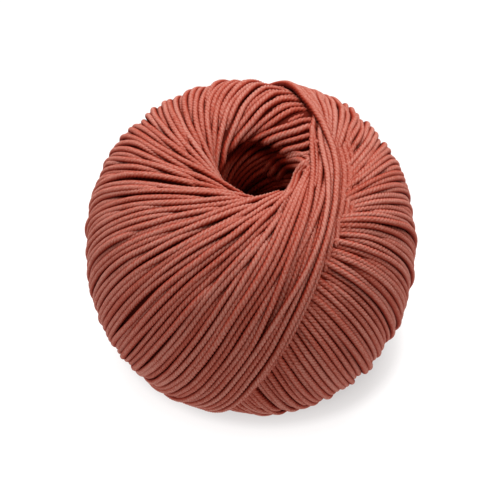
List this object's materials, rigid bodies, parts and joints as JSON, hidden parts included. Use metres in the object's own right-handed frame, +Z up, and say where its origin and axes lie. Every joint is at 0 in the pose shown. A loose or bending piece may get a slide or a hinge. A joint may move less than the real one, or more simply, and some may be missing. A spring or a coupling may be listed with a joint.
{
  "type": "ball of yarn",
  "caption": "Machine-wound centre-pull ball of plied yarn with a hole along its axis, resting on its lower shoulder.",
  "frame": {"origin": "on the surface that the ball rests on, under the middle of the ball", "axes": "+Z up along the winding axis, -Y towards the viewer, +X to the viewer's right"},
  "size_m": [0.0848, 0.086, 0.0689],
  "materials": {
    "yarn": "matte plied yarn, terracotta"
  },
  "bodies": {
    "root": {"yarn_ball": "yarn"}
  },
  "joints": []
}
